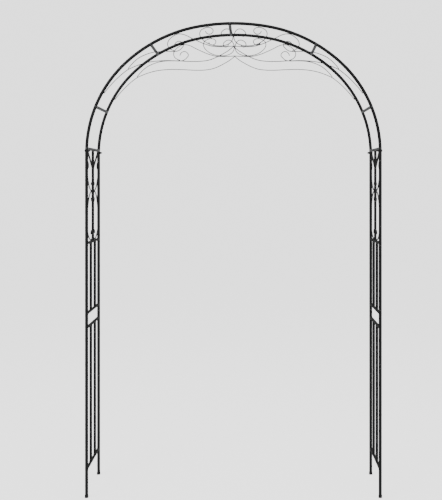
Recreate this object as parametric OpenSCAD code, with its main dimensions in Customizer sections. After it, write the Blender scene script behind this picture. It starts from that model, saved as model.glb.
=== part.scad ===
// Garden trellis arch: two tube hoops on four legs, with side panels, crossbars and a scrolled crest.
// X runs across the walkway, Y from the front hoop to the rear one, Z up. The ground is Z = 0.

/* [Overall] */
// Height from the ground to the top of the hoops
height = 2340; // [2100:10:2900]
// Width over the outside of the legs
width = 1460; // [1200:10:1800]
// Front hoop to rear hoop, centre to centre
hoop_gap = 362; // [290:1:500]

/* [Tubes and rods] */
// Outer diameter of the hoop and leg tubes
tube_d = 16; // [15:0.5:20]
// Wall of every tube
wall = 1.2; // [1:0.1:1.5]
// Outer diameter of the rails and upright bars of the side panels
bar_d = 14; // [10:0.5:15]
// Diameter of the flared bars at the top of the side panels
flare_d = 9; // [6:0.5:12]
// Outer diameter of the crossbars
cross_d = 15; // [12:0.5:15]
// Diameter of the scroll rods on the side panels
scroll_d = 6; // [4:0.5:8]
// Diameter of the crest wires
wire_d = 4; // [3:0.2:5]

/* [Arch] */
// Inner radius of the crown, as a multiple of the inner half span
crown_ratio = 1.345; // [1.2:0.005:1.5]
// Inner radius of the haunch, as a multiple of the inner half span
haunch_ratio = 0.983; // [0.9:0.001:1.1]
// Angle from upright where the crown meets the haunch
crown_angle = 10.5; // [8:0.5:14]
// Angle from upright where the haunch meets the shoulder
haunch_angle = 43; // [38:0.5:50]

/* [Crossbars] */
// Angle from upright of the apex crossbar, beside the joint of the half hoops
apex_bar_angle = -1.1; // [-2:0.1:-1]
// Angle from upright of the haunch crossbars
haunch_bar_angle = 30.5; // [24:0.5:36]
// Angle from upright of the shoulder crossbars
shoulder_bar_angle = 68; // [60:0.5:75]
// Height of the crossbars that top the side panels, above the foot of the hoops
panel_bar_rise = 19; // [18:0.5:22]
// Length of the threaded plug in each end of a crossbar
plug_l = 20; // [16:1:30]

/* [Side panels] */
// Height of the bottom rail
bottom_rail_z = 140; // [100:5:200]
// Height of the joint between the lower and upper posts
leg_joint_z = 870; // [750:10:950]
// Distance of the two joint rails above and below the leg joint
joint_rail_off = 35; // [25:1:60]
// Height of the scrolled panel, from the mid rail to the top of the posts
scroll_panel_h = 448; // [440:2:480]
// Upright bars of the lower panels, distance from the middle
bar_off = 60; // [45:1:75]
// Height of the flared bars' feet above the mid rail
flare_foot = 365; // [355:1:375]

/* [Joints] */
// Length of each spigot inside one tube
spigot_l = 50; // [35:1:60]
// Clearance all round a spigot
spigot_fit = 0.6; // [0.5:0.05:0.8]
// Gap where two tubes butt
butt_gap = 0.3; // [0.1:0.1:0.5]
// Gap under a weld, between two pieces that are welded together
weld_gap = 0.25; // [0.1:0.05:0.4]

/* [Fasteners and caps] */
// Bolt diameter
bolt_d = 6; // [5:0.5:6]
// Clearance all round a bolt
bolt_fit = 0.2; // [0.1:0.05:0.3]
// Length of a crossbar bolt inside its threaded plug
bolt_grip = 14; // [8:1:15]
// Height of the leg bolts above the foot of the hoops
leg_bolt_rise = 8; // [7:0.5:8]
// Diameter of the domed bolt heads
head_d = 11; // [10:0.5:13]
// Height of the domed bolt heads
head_h = 3.4; // [3:0.1:4]
// Cap nuts, across the flats
nut_af = 10; // [10:0.5:11]
// Height of the hexagon of a cap nut
nut_h = 5.5; // [4:0.5:6]
// Height of the dome of a cap nut
nut_dome_h = 5; // [3:0.2:5]
// Wall of the foot caps
cap_wall = 1.2; // [1:0.1:2]
// Thickness of the floor of the foot caps
cap_floor = 2.5; // [2:0.5:5]
// Height of the foot caps
cap_h = 14; // [10:1:20]
// Clearance all round a leg in its foot cap
cap_fit = 0.2; // [0.1:0.05:0.4]

/* [Hidden] */
round_steps = 48;
arc_steps = 180;
$fn = round_steps;

coat = "#17181a";
bar_coat = "#3b3d40";
zinc = "#8d9094";
black_zinc = "#2c2d2f";
rubber = "#0c0c0d";

// Sizes that follow from the ones above
tube_r = tube_d / 2;
bore_r = tube_r - wall;
bar_r = bar_d / 2;
hoop_y = hoop_gap / 2;
leg_x = width / 2 - tube_r;
bolt_hole_d = bolt_d + 2 * bolt_fit;
spigot_d = 2 * (bore_r - spigot_fit);

// The arch is measured on its inner face: crown, haunch and shoulder arcs run smoothly into each other.
half_span = leg_x - tube_r;
crown_r = crown_ratio * half_span;
haunch_r = haunch_ratio * half_span;
haunch_cx = (crown_r - haunch_r) * sin(crown_angle);
shoulder_r = (half_span - haunch_cx - haunch_r * sin(haunch_angle)) / (1 - sin(haunch_angle));
shoulder_cx = half_span - shoulder_r;
apex_z = height - tube_d;
crown_cz = apex_z - crown_r;
haunch_cz = crown_cz + (crown_r - haunch_r) * cos(crown_angle);
spring_z = haunch_cz + (haunch_r - shoulder_r) * cos(haunch_angle);
post_top_z = spring_z;
mid_rail_z = post_top_z - scroll_panel_h;

// The panel crossbars and the leg bolts sit at a height, so their angles from upright follow.
panel_bar_z = spring_z + panel_bar_rise;
panel_bar_angle = acos(panel_bar_rise / (shoulder_r + tube_r));
leg_bolt_angle = acos(leg_bolt_rise / (shoulder_r + tube_r));
// The foot spigot ends below the hole of the crossbar bolt above it.
bolt_land = 2;
hoop_spigot_l = panel_bar_rise - bolt_hole_d / 2 - bolt_land;

// The crest is drawn for an inner half span of 714 and grows with the arch.
crest_span = 714;
grow = half_span / crest_span;

// Arcs are kept a hair apart and joined by a core inside them, so each wire or hoop is one clean solid.
seam = 0.1;
core_l = 1.2;
core_share = 0.9;
sleeve_l = 20;
sleeve_lip = 0.3;
sleeve_r = bore_r + wall / 2;
straight_turn = 0.5;
// Width of the block that trims the S scrolls on the centre line
cut_w = 40;

function centre(a) = a <= crown_angle ? [0, crown_cz]
    : a <= haunch_angle ? [haunch_cx, haunch_cz] : [shoulder_cx, spring_z];
function radius(a) = a <= crown_angle ? crown_r : a <= haunch_angle ? haunch_r : shoulder_r;
function on_arch(a, out = 0) = centre(abs(a)) + (radius(abs(a)) + out) * [sin(abs(a)), cos(a)];

// Smooth paths: through every point runs the heading of the circle through it and its neighbours,
// and two arcs that share a tangent join each point to the next.
function unit(v) = v / norm(v);
function side(v) = [-v[1], v[0]];
function reflect(t, u) = 2 * (t * u) * u - t;
function heading(a, b, c) = unit(unit(b - a) * norm(c - b) + unit(c - b) * norm(b - a));
function headings(p) = let (
        n = len(p),
        inner = [for (i = [1 : n - 2]) heading(p[i - 1], p[i], p[i + 1])],
        first = reflect(inner[0], unit(p[1] - p[0])),
        last = reflect(inner[n - 3], unit(p[n - 1] - p[n - 2]))
    ) concat([first], inner, [last]);
function meeting(p, q, t, u) = let (
        v = q - p,
        k = 2 * (1 - t * u),
        s = v * (t + u),
        d = k < 1e-6 ? v * v / (4 * (v * u)) : (sqrt(s * s + k * (v * v)) - s) / k
    ) (p + q + d * (t - u)) / 2;
function arcs(p) = let (t = headings(p)) [
    for (i = [0 : len(p) - 2])
        let (m = meeting(p[i], p[i + 1], t[i], t[i + 1]))
            each [[p[i], m, t[i]], [m, p[i + 1], reflect(t[i], unit(m - p[i]))]]
];
function shifted(p, by) = let (t = headings(p)) [for (i = [0 : len(p) - 1]) p[i] + by * side(t[i])];

// Crest outlines, in millimetres out from the centre line and down from the arch's inner face at the apex.
// An outline is the line that a wire's outer side follows, so a thicker wire stays inside it.
HEART = [
    [31, 45], [36, 53], [47, 59], [60, 53], [62, 39], [51, 24], [34, 17], [17, 21], [5, 36], [0, 57],
    [5, 78], [15, 90], [31, 99], [49, 103.5], [69, 104.5], [97, 102], [121, 95], [147, 79], [163, 61],
    [168, 42], [163, 27], [147, 15], [124, 9.5], [108, 13], [98, 24], [100, 37], [109, 45], [122, 47],
    [134, 41], [139, 31]
];
S_SCROLL = [
    [0, 101], [35, 103.5], [69, 104.5], [103, 102], [138, 92], [172, 78], [206, 62], [234, 48], [256, 42],
    [275, 42.6], [294, 51], [310, 63], [322, 78], [326, 95], [322, 109], [311, 120], [292, 128]
];
BRANCH = [
    [504, 194], [482, 172], [463, 158], [434, 144], [400, 133], [360, 128], [318, 127.5], [292, 128],
    [271, 124], [257, 113], [248, 99], [254, 88], [267, 82], [281, 88], [288, 101]
];
// The branch leaves the sweep at the sweep's JUNCTION point.
SWEEP = [
    [31, 127], [60, 144], [90, 159], [120, 170], [160, 176], [206, 177], [275, 174], [344, 173], [413, 180],
    [447, 188], [484, 201], [522, 219], [546, 237], [570, 258], [595, 283]
];
JUNCTION = 11;
branch_angle = 32;
sweep_end_angle = 60.5;

// Turns crest millimetres into places in the plane of a hoop.
function crest(p) = [for (q = p) [grow * q[0], apex_z - grow * q[1]]];

// Panel scroll outlines, in millimetres from the side of the centre bar towards the post and up from
// the mid rail's middle, drawn for a bay 166 wide.
LOWER_SCROLL = [
    [52, 40], [46, 54], [26, 60], [6, 50], [1, 33], [17, 15], [58, 7], [108, 22], [152, 62], [166, 110],
    [152, 158], [130, 200], [94, 238], [42, 256], [11, 245], [1, 223], [13, 204], [34, 204], [42, 220]
];
UPPER_SCROLL = [
    [42, 290], [32, 302], [12, 302], [1, 284], [11, 264], [42, 256], [86, 268], [128, 302], [157, 344],
    [165, 374], [157, 397], [138, 405], [120, 393], [121, 374], [138, 368]
];
panel_bay = 166;
bay_w = hoop_y - tube_r - bar_r;
function panel(p) = [for (q = p) [bar_r + q[0] * bay_w / panel_bay, mid_rail_z + q[1]]];

wire_r = wire_d / 2;
wire_in = wire_r + weld_gap;
HEART_LINE = shifted(crest(HEART), wire_in);
S_LINE = shifted(crest(S_SCROLL), -wire_in);
SWEEP_START = [wire_in, S_LINE[0][1] - wire_in - wire_r];
SWEEP_BODY = shifted(crest(SWEEP), -wire_in);
SWEEP_LINE = concat([SWEEP_START], SWEEP_BODY, [on_arch(sweep_end_angle, -wire_in)]);
standoff = (wire_r * (1 + cos(branch_angle)) + weld_gap) / sin(branch_angle);
back = headings(SWEEP_BODY)[JUNCTION];
away = [[cos(branch_angle), sin(branch_angle)] * -back, [-sin(branch_angle), cos(branch_angle)] * -back];
BRANCH_LINE = concat([SWEEP_BODY[JUNCTION] + standoff * away], shifted(crest(BRANCH), wire_in));

module straight(a, b, d) {
    translate([a[0], 0, a[1]])
        rotate([0, atan2(b[0] - a[0], b[1] - a[1]), 0])
            cylinder(d = d, h = norm(b - a));
}

module bend(a, b, t, d) {
    chord = b - a;
    across = side(t) * chord;
    turn = 2 * atan2(across, t * chord);
    if (abs(turn) < straight_turn)
        straight(a + seam / 2 * t, b - seam / 2 * t, d);
    else {
        r = chord * chord / (2 * across);
        c = a + r * side(t);
        trim = seam / 2 / abs(r) * 180 / PI;
        start = atan2(a[1] - c[1], a[0] - c[0]);
        translate([c[0], 0, c[1]])
            rotate([90, 0, 0])
                rotate([0, 0, trim + (turn > 0 ? start : start + turn)])
                    rotate_extrude(angle = abs(turn) - 2 * trim)
                        translate([abs(r), 0])
                            circle(d = d);
    }
}

// A round rod along a smooth path in the XZ plane
module rod(p, d) {
    s = arcs(p);
    for (i = [0 : len(s) - 1]) {
        bend(s[i][0], s[i][1], s[i][2], d);
        if (i > 0)
            straight(s[i][0] - core_l / 2 * s[i][2], s[i][0] + core_l / 2 * s[i][2], core_share * d);
    }
}

module pipe(d, h) {
    difference() {
        cylinder(d = d, h = h);
        translate([0, 0, -1])
            cylinder(d = d - 2 * wall, h = h + 2);
    }
}

// Children drawn for the right front quarter, put on the side sx and in the plane sy
module quarter(sx, sy) {
    translate([0, sy * hoop_y, 0])
        scale([sx, 1, 1])
            children();
}

// Children drawn at the inner face of the hoops: X runs outwards through the tube
module at_arch(a) {
    p = on_arch(a);
    translate([(a < 0 ? -1 : 1) * p[0], 0, p[1]])
        rotate([0, a - 90, 0])
            children();
}

// Children drawn on the centreline of a hoop, with Z along the tube
module in_hoop(a) {
    at_arch(a)
        translate([tube_r, 0, 0])
            children();
}

// A bolt hole through a hoop tube from front to rear, for a crossbar
module side_hole() {
    rotate([90, 0, 0])
        cylinder(d = bolt_hole_d, h = 2 * tube_d, center = true);
}

// A bolt hole through a hoop tube from the outer face to the inner one, for a leg bolt
module cross_hole() {
    rotate([0, 90, 0])
        cylinder(d = bolt_hole_d, h = 2 * tube_d, center = true);
}

module arc_tube(a0, a1) {
    c = centre(a1);
    r = radius(a1) + tube_r;
    trim = seam / 2 / r * 180 / PI;
    translate([c[0], 0, c[1]])
        rotate([90, 0, 0])
            rotate([0, 0, 90 - a1 + trim])
                rotate_extrude(angle = a1 - a0 - 2 * trim, $fn = arc_steps)
                    translate([r, 0])
                        difference() {
                            circle(r = tube_r, $fn = round_steps);
                            circle(r = bore_r, $fn = round_steps);
                        }
}

module sleeve(a) {
    at_arch(a)
        translate([tube_r, 0, -sleeve_l / 2])
            difference() {
                cylinder(r = sleeve_r, h = sleeve_l);
                translate([0, 0, -1])
                    cylinder(r = bore_r - sleeve_lip, h = sleeve_l + 2);
            }
}

module half_hoop(sx, sy) {
    joint = butt_gap / 2 / (crown_r + tube_r) * 180 / PI;
    foot = butt_gap / (shoulder_r + tube_r) * 180 / PI;
    color(coat)
        quarter(sx, sy)
            difference() {
                union() {
                    arc_tube(joint, crown_angle);
                    arc_tube(crown_angle, haunch_angle);
                    arc_tube(haunch_angle, 90 - foot);
                    sleeve(crown_angle);
                    sleeve(haunch_angle);
                }
                for (a = [haunch_bar_angle, shoulder_bar_angle, panel_bar_angle])
                    in_hoop(a)
                        side_hole();
                if (sx * apex_bar_angle > 0)
                    in_hoop(abs(apex_bar_angle))
                        side_hole();
                in_hoop(leg_bolt_angle)
                    cross_hole();
            }
}

// Between the two hoops, and cut back round them
module crossbar(a) {
    color(bar_coat)
        in_hoop(a)
            difference() {
                rotate([90, 0, 0])
                    cylinder(d = cross_d, h = hoop_gap, center = true);
                rotate([90, 0, 0])
                    cylinder(d = cross_d - 2 * wall, h = hoop_gap - tube_d - 2 * plug_l, center = true);
                rotate([90, 0, 0])
                    cylinder(d = bolt_hole_d, h = hoop_gap, center = true);
                for (sy = [-1, 1])
                    translate([0, sy * hoop_y, 0])
                        cylinder(r = tube_r + weld_gap, h = 2 * tube_d, center = true);
            }
}

module crest_sweep(sx, sy) {
    color(coat)
        quarter(sx, sy)
            rod(SWEEP_LINE, wire_d);
}

module crest_branch(sx, sy) {
    color(coat)
        quarter(sx, sy)
            rod(BRANCH_LINE, wire_d);
}

module s_scroll(sx, sy) {
    color(coat)
        quarter(sx, sy)
            difference() {
                rod(S_LINE, wire_d);
                translate([weld_gap / 2 - cut_w, -cut_w / 2, apex_z - S_SCROLL[0][1] * grow - cut_w / 2])
                    cube(cut_w);
            }
}

module heart_scroll(sx, sy) {
    color(coat)
        quarter(sx, sy)
            rod(HEART_LINE, wire_d);
}

// Where the tubes of one side panel are cut back round the posts, rails and centre bar they are welded to
module post_cuts() {
    for (sy = [-1, 1])
        translate([0, sy * hoop_y, 0])
            cylinder(d = tube_d + 2 * weld_gap, h = height);
}

module rail_cut(z) {
    translate([0, -hoop_y, z])
        rotate([-90, 0, 0])
            cylinder(d = bar_d + 2 * weld_gap, h = hoop_gap);
}

module rails(sx, heights) {
    color(coat)
        translate([sx * leg_x, 0, 0])
            difference() {
                for (z = heights)
                    translate([0, -hoop_y, z])
                        rotate([-90, 0, 0])
                            pipe(bar_d, hoop_gap);
                post_cuts();
            }
}

module bars(sx, z0, z1) {
    color(coat)
        translate([sx * leg_x, 0, 0])
            difference() {
                for (sy = [-1, 1])
                    translate([0, sy * bar_off, z0])
                        pipe(bar_d, z1 - z0);
                rail_cut(z0);
                rail_cut(z1);
            }
}

// Where a side panel's upright and flared bars are cut back under the crossbar that tops it
module crossbar_cut() {
    translate([on_arch(panel_bar_angle, tube_r)[0] - leg_x, 0, panel_bar_z])
        rotate([90, 0, 0])
            cylinder(d = cross_d + 2 * weld_gap, h = hoop_gap, center = true);
}

module centre_bar(sx) {
    color(coat)
        scale([sx, 1, 1])
            translate([leg_x, 0, 0])
                difference() {
                    translate([0, 0, mid_rail_z])
                        pipe(bar_d, panel_bar_z - mid_rail_z);
                    rail_cut(mid_rail_z);
                    crossbar_cut();
                }
}

module flared_bars(sx) {
    foot_z = mid_rail_z + flare_foot;
    rise = panel_bar_z - foot_z;
    spread = hoop_y - tube_r - flare_d / 2;
    color(coat)
        scale([sx, 1, 1])
            translate([leg_x, 0, 0])
                difference() {
                    for (sy = [-1, 1])
                        translate([0, 0, foot_z])
                            rotate([sy * -atan2(spread, rise), 0, 0])
                                cylinder(d = flare_d, h = norm([spread, rise]));
                    post_cuts();
                    cylinder(d = bar_d + 2 * weld_gap, h = height);
                    crossbar_cut();
                }
}

module panel_scrolls(sx, sy) {
    inset = scroll_d / 2 + weld_gap;
    color(coat)
        translate([sx * leg_x, 0, 0])
            scale([1, sy, 1])
                rotate([0, 0, 90]) {
                    rod(shifted(panel(LOWER_SCROLL), inset), scroll_d);
                    rod(shifted(panel(UPPER_SCROLL), inset), scroll_d);
                }
}

module upper_post(sx, sy) {
    color(coat)
        quarter(sx, sy)
            translate([leg_x, 0, leg_joint_z + butt_gap])
                pipe(tube_d, post_top_z - leg_joint_z - butt_gap);
}

module lower_post(sx, sy) {
    foot_z = cap_floor + butt_gap;
    color(coat)
        quarter(sx, sy)
            translate([leg_x, 0, foot_z])
                pipe(tube_d, leg_joint_z - foot_z);
}

module apex_spigots() {
    r = crown_r + tube_r;
    reach = spigot_l / r * 180 / PI;
    color(zinc)
        for (sy = [-1, 1])
            translate([0, sy * hoop_y, 0])
                difference() {
                    translate([0, 0, crown_cz])
                        rotate([90, 0, 0])
                            rotate([0, 0, 90 - reach])
                                rotate_extrude(angle = 2 * reach, $fn = arc_steps)
                                    translate([r, 0])
                                        circle(d = spigot_d, $fn = round_steps);
                    in_hoop(apex_bar_angle)
                        side_hole();
                }
}

module hoop_spigots() {
    color(zinc)
        for (sx = [-1, 1], sy = [-1, 1])
            quarter(sx, sy)
                difference() {
                    translate([leg_x, 0, post_top_z - spigot_l])
                        cylinder(d = spigot_d, h = spigot_l + hoop_spigot_l);
                    in_hoop(leg_bolt_angle)
                        cross_hole();
                }
}

module leg_spigots() {
    color(zinc)
        for (sx = [-1, 1], sy = [-1, 1])
            translate([sx * leg_x, sy * hoop_y, leg_joint_z - spigot_l])
                cylinder(d = spigot_d, h = 2 * spigot_l);
}

BAR_ANGLES = [
    -panel_bar_angle, -shoulder_bar_angle, -haunch_bar_angle, apex_bar_angle,
    haunch_bar_angle, shoulder_bar_angle, panel_bar_angle
];

// A round cap of height h on a circle of diameter d
module dome(d, h) {
    r = (d * d / 4 + h * h) / (2 * h);
    intersection() {
        translate([0, 0, h - r])
            sphere(r = r);
        cylinder(d = d, h = h);
    }
}

// A domed bolt through a hoop tube, with Z = 0 on the tube's centreline and the tube along Y
module bolt(reach) {
    saddle = tube_r - sqrt(tube_r * tube_r - head_d * head_d / 4);
    difference() {
        union() {
            translate([0, 0, tube_r])
                dome(head_d, head_h);
            translate([0, 0, tube_r - saddle])
                cylinder(d = head_d, h = saddle);
        }
        rotate([90, 0, 0])
            cylinder(r = tube_r + weld_gap, h = 2 * head_d, center = true);
    }
    translate([0, 0, -reach])
        cylinder(d = bolt_d, h = reach + tube_r + head_h / 2);
}

// Front and rear, through the hoops and into the plugs of the crossbars
module crossbar_bolts() {
    color(black_zinc)
        for (a = BAR_ANGLES, sy = [-1, 1])
            translate([0, sy * hoop_y, 0])
                in_hoop(a)
                    rotate([-sy * 90, 0, 0])
                        bolt(tube_r + bolt_grip);
}

// From the outside, through the feet of the hoops and the spigots in them
module leg_bolts() {
    color(black_zinc)
        for (sx = [-1, 1], sy = [-1, 1])
            quarter(sx, sy)
                in_hoop(leg_bolt_angle)
                    rotate([0, 90, 0])
                        rotate([0, 0, 90])
                            bolt(tube_r + weld_gap + nut_h);
}

module cap_nuts() {
    color(coat)
        for (sx = [-1, 1], sy = [-1, 1])
            quarter(sx, sy)
                at_arch(leg_bolt_angle)
                    rotate([0, -90, 0])
                        difference() {
                            union() {
                                translate([0, 0, weld_gap])
                                    cylinder(d = nut_af / cos(30), h = nut_h, $fn = 6);
                                translate([0, 0, weld_gap + nut_h])
                                    dome(nut_af, nut_dome_h);
                            }
                            cylinder(d = bolt_hole_d, h = nut_h + 2 * weld_gap);
                        }
}

module foot_caps() {
    hole_r = tube_r + cap_fit;
    color(rubber)
        for (sx = [-1, 1], sy = [-1, 1])
            translate([sx * leg_x, sy * hoop_y, 0])
                difference() {
                    union() {
                        cylinder(r1 = hole_r, r2 = hole_r + cap_wall, h = cap_wall);
                        translate([0, 0, cap_wall])
                            cylinder(r = hole_r + cap_wall, h = cap_h - cap_wall);
                    }
                    translate([0, 0, cap_floor])
                        cylinder(r = hole_r, h = cap_h);
                }
}

low_joint_rail_z = leg_joint_z - joint_rail_off;
high_joint_rail_z = leg_joint_z + joint_rail_off;

half_hoop(-1, -1);  // front_left_half_hoop
half_hoop(1, -1);  // front_right_half_hoop
half_hoop(-1, 1);  // rear_left_half_hoop
half_hoop(1, 1);  // rear_right_half_hoop
crossbar(apex_bar_angle);  // apex_crossbar
crossbar(-haunch_bar_angle);  // left_haunch_crossbar
crossbar(haunch_bar_angle);  // right_haunch_crossbar
crossbar(-shoulder_bar_angle);  // left_shoulder_crossbar
crossbar(shoulder_bar_angle);  // right_shoulder_crossbar
crossbar(-panel_bar_angle);  // left_panel_crossbar
crossbar(panel_bar_angle);  // right_panel_crossbar
crest_sweep(-1, -1);  // front_left_crest_sweep
crest_sweep(1, -1);  // front_right_crest_sweep
crest_sweep(-1, 1);  // rear_left_crest_sweep
crest_sweep(1, 1);  // rear_right_crest_sweep
crest_branch(-1, -1);  // front_left_crest_branch
crest_branch(1, -1);  // front_right_crest_branch
crest_branch(-1, 1);  // rear_left_crest_branch
crest_branch(1, 1);  // rear_right_crest_branch
s_scroll(-1, -1);  // front_left_s_scroll
s_scroll(1, -1);  // front_right_s_scroll
s_scroll(-1, 1);  // rear_left_s_scroll
s_scroll(1, 1);  // rear_right_s_scroll
heart_scroll(-1, -1);  // front_left_heart_scroll
heart_scroll(1, -1);  // front_right_heart_scroll
heart_scroll(-1, 1);  // rear_left_heart_scroll
heart_scroll(1, 1);  // rear_right_heart_scroll
upper_post(-1, -1);  // front_left_upper_post
upper_post(1, -1);  // front_right_upper_post
upper_post(-1, 1);  // rear_left_upper_post
upper_post(1, 1);  // rear_right_upper_post
lower_post(-1, -1);  // front_left_lower_post
lower_post(1, -1);  // front_right_lower_post
lower_post(-1, 1);  // rear_left_lower_post
lower_post(1, 1);  // rear_right_lower_post
rails(-1, [bottom_rail_z, low_joint_rail_z]);  // left_lower_rails
rails(-1, [high_joint_rail_z, mid_rail_z]);  // left_upper_rails
bars(-1, bottom_rail_z, low_joint_rail_z);  // left_lower_bars
bars(-1, high_joint_rail_z, mid_rail_z);  // left_upper_bars
centre_bar(-1);  // left_centre_bar
flared_bars(-1);  // left_flared_bars
rails(1, [bottom_rail_z, low_joint_rail_z]);  // right_lower_rails
rails(1, [high_joint_rail_z, mid_rail_z]);  // right_upper_rails
bars(1, bottom_rail_z, low_joint_rail_z);  // right_lower_bars
bars(1, high_joint_rail_z, mid_rail_z);  // right_upper_bars
centre_bar(1);  // right_centre_bar
flared_bars(1);  // right_flared_bars
panel_scrolls(-1, -1);  // front_left_panel_scrolls
panel_scrolls(1, -1);  // front_right_panel_scrolls
panel_scrolls(-1, 1);  // rear_left_panel_scrolls
panel_scrolls(1, 1);  // rear_right_panel_scrolls
apex_spigots();
hoop_spigots();
leg_spigots();
crossbar_bolts();
leg_bolts();
cap_nuts();
foot_caps();
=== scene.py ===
# %% [markdown]
# # A garden trellis arch in black powder-coated steel
#
# The arch is a knock-down product: two bent hoops on four legs, seven crossbars between them, an
# openwork panel on each side and a crest of scrolled wire under each hoop. The frame already holds
# every part at its true size and place. Each step below re-makes one kind of part the way a metal
# shop makes it, then gives it its finish. Straight tubes that are right already keep their meshes.

import math

import bmesh
import bpy
from mathutils import Matrix, Vector, noise


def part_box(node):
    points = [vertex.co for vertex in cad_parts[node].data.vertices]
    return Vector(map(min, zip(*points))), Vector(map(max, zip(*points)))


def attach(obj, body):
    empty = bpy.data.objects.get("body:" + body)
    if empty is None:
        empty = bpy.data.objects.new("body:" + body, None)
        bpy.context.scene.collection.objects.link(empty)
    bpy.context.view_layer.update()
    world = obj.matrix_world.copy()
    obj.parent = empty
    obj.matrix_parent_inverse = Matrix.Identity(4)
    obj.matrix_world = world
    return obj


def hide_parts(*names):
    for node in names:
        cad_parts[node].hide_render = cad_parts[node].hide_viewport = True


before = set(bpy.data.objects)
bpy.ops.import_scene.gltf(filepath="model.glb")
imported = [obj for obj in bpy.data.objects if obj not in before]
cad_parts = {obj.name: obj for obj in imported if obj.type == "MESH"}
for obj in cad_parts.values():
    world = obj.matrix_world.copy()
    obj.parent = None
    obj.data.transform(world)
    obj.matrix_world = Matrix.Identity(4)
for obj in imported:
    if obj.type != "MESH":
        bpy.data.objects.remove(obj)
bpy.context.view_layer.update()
MM = 0.001

# %% [markdown]
# ## Measures
#
# Nothing is placed by eye. The tube's radius, the legs' places and the heights are read from the
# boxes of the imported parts. Only what a box can't say is written here: the arch has three radii,
# a flat crown, a rounder haunch and a tight shoulder, and they are shares of the inner half span.
# Each arc starts where the last one ends and shares its tangent there, so the curve has no kink.

# %% Measures from the frame
SIDES = {"left": -1, "right": 1}
PLANES = ("front", "rear")


def middle(node):
    low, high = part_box(node)
    return (low + high) / 2


hoop_low, hoop_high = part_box("front_right_half_hoop")
hoop_y = {plane: middle(f"{plane}_right_half_hoop").y for plane in PLANES}
tube_r = (hoop_high.y - hoop_low.y) / 2
leg_x = hoop_high.x - tube_r
spring_z = hoop_low.z
half_span = leg_x - tube_r
top_z = hoop_high.z - 2 * tube_r

print(f"tube {2 * tube_r / MM:.1f} mm, legs at {leg_x:.3f} m, spring line at {spring_z:.3f} m")


# %% The three arcs of the arch
def upright_turn(angle):
    """The direction in the plane of a hoop at an angle from upright."""
    return Vector((math.sin(angle), math.cos(angle)))


CROWN_RATIO, HAUNCH_RATIO = 1.345, 0.983
CROWN_ANGLE, HAUNCH_ANGLE = math.radians(10.5), math.radians(43)
crown_r = CROWN_RATIO * half_span
haunch_r = HAUNCH_RATIO * half_span
crown_centre = Vector((0, top_z - crown_r))
haunch_centre = crown_centre + (crown_r - haunch_r) * upright_turn(CROWN_ANGLE)
haunch_end = upright_turn(HAUNCH_ANGLE)
shoulder_r = (half_span - haunch_centre.x - haunch_r * haunch_end.x) / (1 - haunch_end.x)
shoulder_centre = haunch_centre + (haunch_r - shoulder_r) * haunch_end
ANGLE_SLACK = 1e-4
ARCH = [
    (0, CROWN_ANGLE, crown_centre, crown_r),
    (CROWN_ANGLE, HAUNCH_ANGLE, haunch_centre, haunch_r),
    (HAUNCH_ANGLE, math.pi / 2, shoulder_centre, shoulder_r),
]


def on_arch(angle, outwards=0.0):
    """The place on the right half's inner face at an angle from upright, and the way out from it."""
    for _, end, centre, radius in ARCH:
        if angle <= end + ANGLE_SLACK:
            break
    out = upright_turn(angle)
    return centre + (radius + outwards) * out, out


print("inner radii", [round(radius, 3) for _, _, _, radius in ARCH], "m")

# %% [markdown]
# ## The camera
#
# The arch is seen square on, from a little right of its middle and at chest height. The uprights
# stay parallel, so the camera is level, and the frame is shifted instead of the camera tilted.

# %% Camera
LENS_MM, SENSOR_MM = 66.816, 36.0
SHIFT_X, SHIFT_Y = -0.0586, -0.1384
CAMERA_PLACE = (0.083, -4.744, 1.558)

scene = bpy.context.scene
camera_data = bpy.data.cameras.new("camera")
camera_data.sensor_width = SENSOR_MM
camera_data.lens = LENS_MM
camera_data.shift_x, camera_data.shift_y = SHIFT_X, SHIFT_Y
camera = bpy.data.objects.new("camera", camera_data)
camera.location = CAMERA_PLACE
camera.rotation_euler = (math.pi / 2, 0, 0)
scene.collection.objects.link(camera)
scene.camera = camera
print(f"lens {LENS_MM:.1f} mm, camera at {CAMERA_PLACE} m")

# %% [markdown]
# ## Light
#
# A black tube shows its shape by what it mirrors, so the light comes from three wide soft boxes
# and no small lamp. The sky could light the scene too, but a white sky turns black tubes grey. So
# a light path node tells the two uses apart: the sky is bright to the camera and dim as a light.


# %% Soft boxes
def soft_box(name, size, power, place, target):
    """A square area light that faces its target."""
    data = bpy.data.lights.new(name, "AREA")
    data.size = size
    data.energy = power
    light = bpy.data.objects.new(name, data)
    light.location = place
    light.rotation_euler = (Vector(target) - Vector(place)).to_track_quat("-Z", "Y").to_euler()
    scene.collection.objects.link(light)
    print(name, power, "W")


soft_box("key_light", 3.0, 115, place=(-3.2, -3.6, 4.2), target=(0, 0, 1.3))
soft_box("fill_light", 3.5, 50, place=(3.8, -2.8, 2.4), target=(0, 0, 1.2))
soft_box("top_light", 3.0, 65, place=(0.3, 0.6, 5.0), target=(0, 0, 1.5))

# %% Sky
SKY_LIGHT, SKY_SEEN = 0.25, 2.2

world = bpy.data.worlds.new("studio")
world.use_nodes = True
sky = world.node_tree
backdrop = sky.nodes["Background"]
backdrop.inputs["Color"].default_value = (1, 1, 1, 1)
seen = sky.nodes.new("ShaderNodeLightPath").outputs["Is Camera Ray"]
strength = sky.nodes.new("ShaderNodeMix")
strength.inputs["A"].default_value = SKY_LIGHT
strength.inputs["B"].default_value = SKY_SEEN
sky.links.new(seen, strength.inputs["Factor"])
sky.links.new(strength.outputs["Result"], backdrop.inputs["Strength"])
scene.world = world
print("sky", SKY_LIGHT, "as a light and", SKY_SEEN, "to the camera")
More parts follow.
